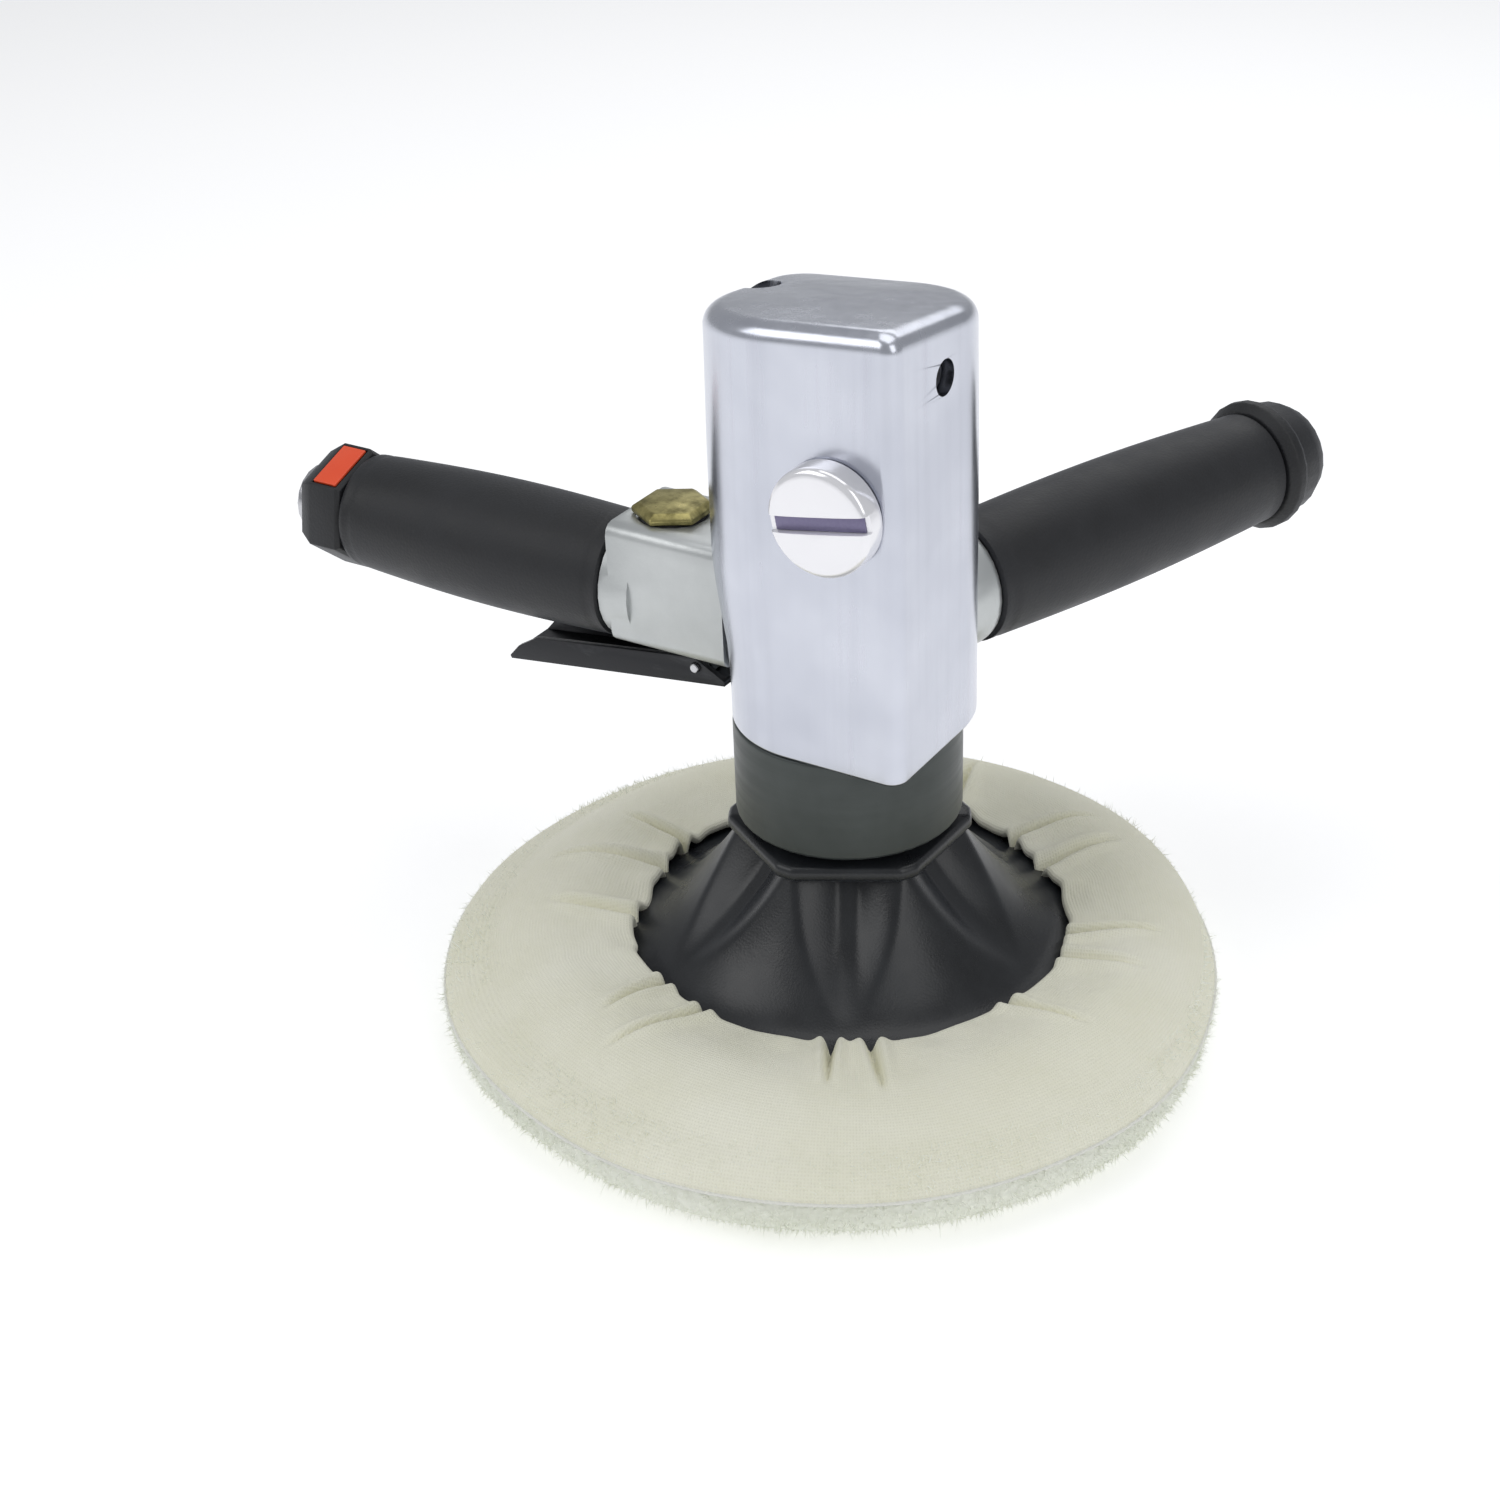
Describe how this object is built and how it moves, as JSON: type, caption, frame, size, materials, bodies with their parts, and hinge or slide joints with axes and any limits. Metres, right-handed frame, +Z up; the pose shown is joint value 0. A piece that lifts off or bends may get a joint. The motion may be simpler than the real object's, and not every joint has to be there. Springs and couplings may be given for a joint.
{
  "type": "rotary polisher",
  "caption": "Two-handed vertical air polisher: polished motor housing over a geared spindle, ribbed rubber backing pad in a cream pile bonnet, lever throttle handle and plain side handle.",
  "frame": {"origin": "centre of the bonnet's flat working face, on the spindle axis", "axes": "+Z up along the spindle toward the top of the motor; the dial face of the housing looks along -Y; the throttle handle points along -X; the side handle points to (0.342, 0.940, 0)"},
  "size_m": [0.2614, 0.2493, 0.1942],
  "materials": {
    "polished_aluminium": "bright machine-polished aluminium",
    "satin_cast_aluminium": "satin shot-blasted casting",
    "dark_grey_anodised": "dark grey satin anodised",
    "white_chrome": "bright plated",
    "black_oxide_steel": "semi-gloss black coated steel",
    "black_rubber": "matt black moulded rubber",
    "pad_rubber": "semi-gloss black moulded rubber",
    "brass": "dull olive brass",
    "orange_red_plastic": "orange-red plastic",
    "ground_steel": "ground steel",
    "cast_iron": "machined grey iron",
    "phenolic_vane": "brown laminated phenolic",
    "nitrile_rubber": "black nitrile",
    "cream_pile": "fluffy cream pile",
    "cream_cloth": "cream woven cloth",
    "white_elastic": "white braided elastic"
  },
  "bodies": {
    "housing": {"motor_housing": "polished_aluminium", "gear_case": "dark_grey_anodised", "ring_gear": "ground_steel", "front_end_plate": "cast_iron", "rear_end_plate": "cast_iron", "cylinder_liner": "cast_iron", "locating_pin": "ground_steel", "front_rotor_bearing_outer": "ground_steel", "rear_rotor_bearing_outer": "ground_steel", "spindle_bearing_outer": "ground_steel", "bearing_circlip": "black_oxide_steel", "spindle_seal": "nitrile_rubber", "top_cap_screw": "black_oxide_steel", "side_port_plug": "black_oxide_steel", "dial_o_ring": "nitrile_rubber", "throttle_body": "satin_cast_aluminium", "valve_cap": "brass", "valve_cap_o_ring": "nitrile_rubber", "valve_spring": "ground_steel", "lever_pin": "ground_steel", "inlet_tube": "ground_steel", "throttle_grip": "black_rubber", "inlet_bushing": "ground_steel", "inlet_screen": "brass", "side_handle_boss": "satin_cast_aluminium", "side_handle_stud": "ground_steel", "side_handle_tube": "ground_steel", "side_grip": "black_rubber", "side_end_cap": "black_rubber", "side_end_screw": "ground_steel"},
    "dial": {"speed_dial": "white_chrome"},
    "lever": {"throttle_lever": "black_oxide_steel"},
    "valve": {"valve_stem": "ground_steel"},
    "collar": {"exhaust_collar": "black_rubber", "collar_marker": "orange_red_plastic"},
    "spindle": {"spindle": "ground_steel", "spindle_bearing_inner": "ground_steel", "planet_pin_1": "ground_steel", "planet_pin_2": "ground_steel", "planet_pin_3": "ground_steel", "pad_hub_insert": "ground_steel", "backing_pad": "pad_rubber", "bonnet_pile": "cream_pile", "bonnet_skirt": "cream_cloth", "bonnet_elastic": "white_elastic"},
    "ball_cage": {"spindle_ball_cage": "brass"},
    "rotor": {"rotor": "ground_steel", "sun_pinion": "ground_steel", "vane_1": "phenolic_vane", "vane_2": "phenolic_vane", "vane_3": "phenolic_vane", "vane_4": "phenolic_vane", "front_rotor_bearing_inner": "ground_steel", "rear_rotor_bearing_inner": "ground_steel"},
    "planet_1": {"planet_gear_1": "ground_steel"},
    "planet_2": {"planet_gear_2": "ground_steel"},
    "planet_3": {"planet_gear_3": "ground_steel"}
  },
  "joints": [
    {"name": "spindle_spin", "type": "hinge", "parent": "housing", "child": "spindle", "pos_m": [0, 0, 0.066], "axis": [0, 0, 1], "continuous": true},
    {"name": "rotor_spin", "type": "hinge", "parent": "housing", "child": "rotor", "pos_m": [0, 0, 0.117], "axis": [0, 0, 1], "continuous": true},
    {"name": "ball_cage_spin", "type": "hinge", "parent": "housing", "child": "ball_cage", "pos_m": [0, 0, 0.0661], "axis": [0, 0, 1], "continuous": true},
    {"name": "planet_1_spin", "type": "hinge", "parent": "spindle", "child": "planet_1", "pos_m": [0, 0.01282, 0.0815], "axis": [0, 0, 1], "continuous": true},
    {"name": "planet_2_spin", "type": "hinge", "parent": "spindle", "child": "planet_2", "pos_m": [-0.01111, -0.00641, 0.0815], "axis": [0, 0, 1], "continuous": true},
    {"name": "planet_3_spin", "type": "hinge", "parent": "spindle", "child": "planet_3", "pos_m": [0.01111, -0.00641, 0.0815], "axis": [0, 0, 1], "continuous": true},
    {"name": "lever_press", "type": "hinge", "parent": "housing", "child": "lever", "pos_m": [-0.038, 0, 0.0916], "axis": [0, 1, 0], "range_deg": [0, 5.5], "stiffness_Nm_per_rad": 3, "springref_deg": -2.86},
    {"name": "valve_lift", "type": "slide", "parent": "housing", "child": "valve", "axis": [0, 0, 1], "range_m": [0, 0.001], "deforming": ["valve_spring"]},
    {"name": "dial_turn", "type": "hinge", "parent": "housing", "child": "dial", "pos_m": [0.014, -0.0285, 0.152], "axis": [0, -1, 0], "range_deg": [-45, 45]},
    {"name": "collar_turn", "type": "hinge", "parent": "housing", "child": "collar", "pos_m": [-0.152, 0, 0.108], "axis": [-1, 0, 0], "range_deg": [-90, 90]}
  ],
  "couplings": [
    {"joint": "rotor_spin", "follows": "spindle_spin", "ratio": 4.5},
    {"joint": "ball_cage_spin", "follows": "spindle_spin", "ratio": 0.4346},
    {"joint": "planet_1_spin", "follows": "spindle_spin", "ratio": -2.8},
    {"joint": "planet_2_spin", "follows": "spindle_spin", "ratio": -2.8},
    {"joint": "planet_3_spin", "follows": "spindle_spin", "ratio": -2.8},
    {"joint": "valve_lift", "follows": "lever_press", "m_per_rad": 0.01}
  ]
}
